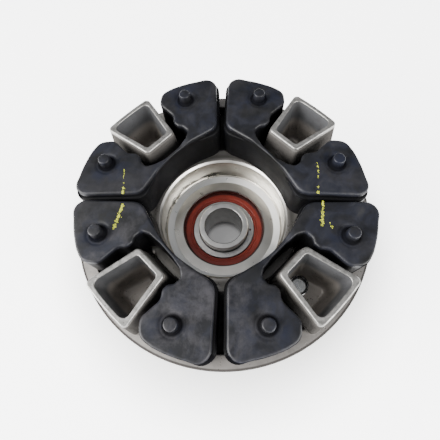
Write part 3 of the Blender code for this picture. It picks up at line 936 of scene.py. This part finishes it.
def make_crayon_marks():
    """Yellow crayon lines that once ran across the gaps between the dampers."""
    first = [((39.8, 0.9), (39.9, 3.2), 0.8, 0.8), ((40.2, 3.2), (41.2, 16.0), 0.55, 0.10)]
    second = [((-41.5, 5.2), (-41.4, 1.6), 0.9, 1.3), ((-41.6, 5.2), (-42.0, 14.0), 0.5, 0.07)]
    third = [((-41.0, -2.4), (-41.5, -6.0), 0.8, 1.1), ((-41.5, -6.0), (-43.6, -13.5), 1.15, 0.8)]
    fourth = [((41.2, -2.6), (41.1, -4.8), 0.8, 1.0), ((41.0, -5.5), (39.8, -13.4), 1.0, 0.45)]
    fourth.append(((43.0, -12.0), (43.1, -14.6), 1.3, 0.16))
    for k, strokes in enumerate((first, second, third, fourth)):
        crayon_flakes(f"crayon_mark_{k + 1}", strokes, f"damper_{k + 1}", 4 + 3 * k)


# ---- bearing, sleeve, seal and clip


def place_turned(name, profile, mat, body, node, segments=3):
    mesh = turned_mesh(name, profile, 128, segments)
    obj = new_object(name, mesh, mat)
    finish_mesh(mesh, 30)
    weight_normals(obj)
    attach(obj, body)
    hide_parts(node)


def groove(bottom, side):
    """Points down a ball groove with its bottom at this radius and the balls on that side."""
    points = []
    for k in range(13):
        angle = math.radians(50 - 100 * k / 12)
        radius = bottom + side * GROOVE_RADIUS * (1 - math.cos(angle))
        points.append((radius, RING_MIDDLE + GROOVE_RADIUS * math.sin(angle), 0))
    return points


def make_bearing():
    top, end = RING_TOP, RING_END
    step_top, step_end = top - 2, end + 2
    outer = span("bearing_outer_ring")[1].x
    seat, land = 23.4, 22.3
    profile = [(outer, top, 0.9), (outer, end, 0.9)]
    profile += [(seat, end, 0.2), (seat, step_end, 0.2), (land, step_end, 0.2)]
    profile += reversed(groove(PITCH_RADIUS + GROOVE_RADIUS, -1))
    profile += [(land, step_top, 0.2), (seat, step_top, 0.2), (seat, top, 0.2)]
    place_turned("outer_ring", profile, RING_STEEL, "carrier", "bearing_outer_ring")
    bore, seat, land = 12.8, 15.6, 16.9
    profile = [(seat, top, 0.25), (seat, step_top, 0.15), (land, step_top, 0.2)]
    profile += groove(PITCH_RADIUS - GROOVE_RADIUS, 1)
    profile += [(land, step_end, 0.2), (seat, step_end, 0.15), (seat, end, 0.25)]
    profile += [(bore, end, 0.4), (bore, top, 0.3)]
    place_turned("inner_ring", profile, RING_STEEL, "sleeve", "bearing_inner_ring")
    # A seal's section as (radius, depth below its face, fillet)
    ridge = [(23.1, 0.35, 0.15), (22.6, 0.35, 0.15), (22.3, 0, 0.25), (17.9, 0, 0.25)]
    ridge += [(17.6, 0.22, 0.15), (17.1, 0.22, 0.15), (16.8, 0.02, 0.2), (16.1, 0.1, 0.25)]
    ridge += [(15.85, 0.5, 0.15), (15.9, 1.2, 0.15), (23.1, 1.2, 0.2)]
    for name, end_face, side in (("inboard", top, 1), ("outboard", end, -1)):
        face = end_face - side * 0.3
        profile = [(radius, face - side * depth, fillet) for radius, depth, fillet in ridge]
        node = f"bearing_seal_{name}"
        place_turned(f"seal_{name}", profile, RED, "carrier", node)
    make_cage_and_balls()


def sphere_mesh(name, radius, around, rings):
    bm = bmesh.new()
    bmesh.ops.create_uvsphere(bm, u_segments=around, v_segments=rings, radius=radius * MM)
    return made_mesh(bm, name, outwards=False)


def make_cage_and_balls():
    high_side, low_side = RING_MIDDLE + 2.0, RING_MIDDLE - 4.0
    ring = [(21.6, high_side, 0.4), (21.6, low_side, 0.5), (17.6, low_side, 0.5), (17.6, high_side, 0.4)]
    rooms = []
    for k in range(BALLS):
        low, high = span(f"bearing_ball_{k + 1}")
        centre = (low + high) / 2
        rooms.append(("DIFFERENCE", tool(f"Room{k}", sphere_mesh("Room", 4.45, 24, 16), centre)))
        mesh = sphere_mesh(f"Ball{k}", BALL_RADIUS, 32, 20)
        mesh.transform(Matrix.Translation(centre * MM))
        mesh.shade_smooth()
        ball = new_object(f"steel_ball_{k + 1}", mesh, RING_STEEL)
        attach(ball, "cage")
        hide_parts(f"bearing_ball_{k + 1}")
    mesh = joined(tool("CageBody", turned_mesh("CageBody", ring, 108)), rooms, "Cage")
    obj = new_object("ball_cage", mesh, CAGE)
    finish_mesh(mesh, 35)
    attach(obj, "cage")
    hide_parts("bearing_cage")


def make_sleeve():
    outer, bore = 12.5, SLEEVE_BORE
    low = span("axle_sleeve")[0].z
    profile = [(bore, SLEEVE_TOP, 0.5), (outer, SLEEVE_TOP, 0.55)]
    profile += [(outer, low, 0.6), (bore, low, 0.6), (bore, low + 9, 0)]
    place_turned("sleeve_tube", profile, SLEEVE_STEEL, "sleeve", "axle_sleeve", segments=5)


def make_circlip():
    """An internal retaining ring with an eye at each end of its gap."""
    low, high = span("circlip")[0].z, span("circlip")[1].z
    outline = []
    opening = math.radians(14)
    sweep = math.tau - 2 * opening
    count = 96
    outer, inner, eye = CLIP_GROOVE - 0.4, 24.4, 21.8
    for k in range(count + 1):
        angle = opening + sweep * k / count
        outline.append(polar(outer, angle))
    for k in range(count + 1):
        share = k / count
        angle = math.tau - opening - sweep * share
        arc = min(share, 1 - share) * sweep * inner
        radius = eye if arc < 3.6 else eye + (inner - eye) * min(1.0, (arc - 3.6) / 1.6)
        outline.append(polar(radius, angle))
    blank = tool("ClipBlank", loft_mesh("ClipBlank", [at(outline, low), at(outline, high)]))
    steps = []
    for side in (-1, 1):
        angle = side * (opening + 0.085)
        where = (*polar(23.9, angle), 0)
        hole = [(0, high + 1, 0), (1.15, high + 1, 0), (1.15, low - 1, 0), (0, low - 1, 0)]
        steps.append(("DIFFERENCE", tool(f"ClipHole{side}", solid_turned("ClipHole", hole, 24), where)))
    mesh = joined(blank, steps, "Circlip")
    obj = new_object("retaining_ring", mesh, DARK_STEEL)
    finish_mesh(mesh, 35)
    soft = obj.modifiers.new("Edges", "BEVEL")
    soft.width = 0.12 * MM
    soft.segments = 2
    soft.limit_method = "ANGLE"
    soft.angle_limit = math.radians(50)
    soft.harden_normals = True
    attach(obj, "carrier")
    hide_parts("circlip")


def make_grease_seal():
    low, high = span("grease_seal")[0].z, span("grease_seal")[1].z
    outer = span("grease_seal")[1].x
    lip = 15.5
    profile = [(outer, high, 0.4), (outer, high - 1.6, 0.2), (outer - 0.15, high - 1.9, 0.1)]
    profile += [(outer - 0.15, high - 2.5, 0.1), (outer, high - 2.8, 0.2), (outer, low, 0.7)]
    profile += [(24.6, low, 0.3), (24.2, low + 0.35, 0.2), (21.8, low + 0.35, 0.2), (21.4, low, 0.3)]
    profile += [(17.6, low, 0.8), (lip + 0.5, low + 0.5, 0.3), (lip + 0.9, low + 2.3, 0.4)]
    profile += [(lip, low + 3.6, 0.12), (lip + 0.8, high - 0.6, 0.3), (lip + 2.0, high - 0.6, 0.2)]
    profile += [(lip + 1.7, high - 1.4, 0.3), (lip + 1.7, low + 2.0, 0.5), (23.6, low + 2.0, 0.6)]
    profile += [(23.6, high, 0.3)]
    place_turned("oil_seal", profile, RUBBER, "carrier", "grease_seal")
    make_garter_spring(lip + 2.6, low + 3.5)


def make_garter_spring(radius, height):
    """A closed coil spring ring, its windings shown as ridges round the tube."""
    windings, per, around = 150, 5, 10
    bm = bmesh.new()
    rows = []
    total = windings * per
    for i in range(total):
        sweep = i * math.tau / total
        row = []
        for k in range(around):
            turn = k * math.tau / around
            swell = 0.53 + 0.07 * math.cos(windings * sweep - turn)
            out, up = polar(swell, turn)
            x, y = polar(radius + out, sweep)
            row.append(bm.verts.new((x * MM, y * MM, (height + up) * MM)))
        rows.append(row)
    for i in range(total):
        bridge(bm, rows[i], rows[(i + 1) % total])
    mesh = made_mesh(bm, "GarterSpring", outwards=False)
    obj = new_object("coil_ring", mesh, RING_STEEL)
    finish_mesh(mesh, 60)
    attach(obj, "carrier")
    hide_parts("garter_spring")


# ---- studs


def stud_mesh(low, high):
    """A stud with a real helical thread below a plain shank, chamfered at both ends."""
    pitch, crest, root, shank, steps = 1.25, 3.98, 3.25, 4.0, 32
    start, stop = low + 0.9, SEAT_Z - 2.5
    rows_up = int((stop - start) / pitch + 2) * 4
    bm = bmesh.new()
    grid = []
    for k in range(steps):
        c, s = spoke(k, steps)
        column = []
        for j in range(rows_up + 5):
            z = start - pitch + j * pitch / 4 + pitch * k / steps
            depth = (root, crest, crest, root)[j % 4]
            depth = min(depth, 3.3 + 0.9 * max(0.0, z - start))
            if z <= start:
                z, depth = start, root
            if z >= stop:
                z, depth = stop, 3.6
            column.append(bm.verts.new((depth * c * MM, depth * s * MM, z * MM)))
        grid.append(column)
    for k in range(steps):
        # The last column meets the first one a pitch higher, which is four rows
        here, there = grid[k], grid[k + 1] if k < steps - 1 else grid[0][4:]
        for j in range(rows_up):
            bm.faces.new((here[j], there[j], there[j + 1], here[j + 1]))
    lower = [(root, start), (2.9, low + 0.25), (2.6, low)]
    upper = [(3.6, stop), (shank, stop + 0.4), (shank, high - 1.0), (3.75, high - 0.45), (3.0, high)]
    for path in (lower, upper):
        rings = []
        for r, z in path:
            around = (spoke(k, steps) for k in range(steps))
            rings.append([bm.verts.new((r * c * MM, r * s * MM, z * MM)) for c, s in around])
        for near, far in zip(rings, rings[1:]):
            bridge(bm, near, far)
        bm.faces.new(rings[-1])
    bmesh.ops.remove_doubles(bm, verts=bm.verts, dist=0.02 * MM)
    bmesh.ops.dissolve_degenerate(bm, edges=bm.edges, dist=0.002 * MM)
    return finish_mesh(made_mesh(bm, "Stud", outwards=False), 30)


def make_studs():
    low, high = span("sprocket_stud_1")[0].z, span("sprocket_stud_1")[1].z
    blank = stud_mesh(low, high)
    for number, x, y in stud_centres():
        mesh = blank.copy()
        turn = Matrix.Rotation(number * 1.1, 4, "Z")
        mesh.transform(Matrix.Translation((x * MM, y * MM, 0)) @ turn)
        obj = new_object(f"threaded_stud_{number}", mesh, ZINC)
        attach(obj, "carrier")
        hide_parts(f"sprocket_stud_{number}")


# ---- studio


def make_studio():
    bm = bmesh.new()
    bmesh.ops.create_grid(bm, x_segments=2, y_segments=2, size=4.0)
    look = Look("PaleFloor")
    tone = look.patchy(6, 3, (0.88, 0.885, 0.89), (0.90, 0.905, 0.91))
    floor = new_object("floor", made_mesh(bm, "Floor", outwards=False), look.set(base=tone, rough=0.6))
    radius = look.distance(0, 0)
    # The floor glows like a lamp from 62 mm out, and a faint painted pool of light lies on it under the bore
    around = look.times(look.band(radius, 62, 110), 4.0)
    glow = look.math("ADD", around, look.times(look.band(radius, 14, 9), 0.22))
    look.shader.inputs["Emission Color"].default_value = (1.0, 1.0, 1.0, 1.0)
    look.feed(look.shader.inputs["Emission Strength"], glow)
    world = bpy.data.worlds.new("Studio")
    world.use_nodes = True
    background = world.node_tree.nodes["Background"]
    background.inputs["Color"].default_value = (0.93, 0.96, 1.0, 1.0)
    background.inputs["Strength"].default_value = 0.32
    bpy.context.scene.world = world
    for name, place, size, power in (
        ("KeyLeft", (-0.95, -0.35, 0.55), 0.9, 48.0),
        ("FillRight", (0.80, -0.60, 0.55), 0.8, 26.0),
        ("SkyLeft", (-0.45, 0.10, 1.0), 0.5, 2.2),
    ):
        lamp = bpy.data.lights.new(name, "AREA")
        lamp.size = size
        lamp.energy = power
        lamp.color = (1.0, 0.99, 0.97)
        obj = new_object(name, lamp)
        obj.location = place
        obj.rotation_euler = (Vector((0, 0, 0.04)) - Vector(place)).to_track_quat("-Z", "Y").to_euler()


def make_camera():
    """The camera looks down at 68 degrees from the front, a little rolled, from 148 mm away."""
    elevation = math.radians(68.37)
    roll = math.radians(-5.9)
    heading = Matrix.Rotation(math.radians(5.45), 3, "Z")
    forward = Vector((0, math.cos(elevation), -math.sin(elevation)))
    up = Vector((0, math.sin(elevation), math.cos(elevation)))
    right = Vector((1, 0, 0))
    side = math.cos(roll) * right + math.sin(roll) * up
    top = -math.sin(roll) * right + math.cos(roll) * up
    target = Vector((-1.53, -3.58, 0))
    place = heading @ (target - 147.7 * forward) + Vector((0, 0, FACE))
    axes = Matrix((heading @ side, heading @ top, -(heading @ forward))).transposed()
    lens = bpy.data.cameras.new("Camera")
    lens.sensor_width = 36.0
    lens.lens = 26.45
    lens.clip_start = 0.005
    camera = new_object("Camera", lens)
    camera.matrix_world = Matrix.Translation(place * MM) @ axes.to_4x4()
    bpy.context.scene.camera = camera


make_camera()
make_studio()
make_carrier()
make_dampers()
make_crayon_marks()
make_bearing()
make_sleeve()
make_circlip()
make_grease_seal()
make_studs()

bpy.context.view_layer.update()
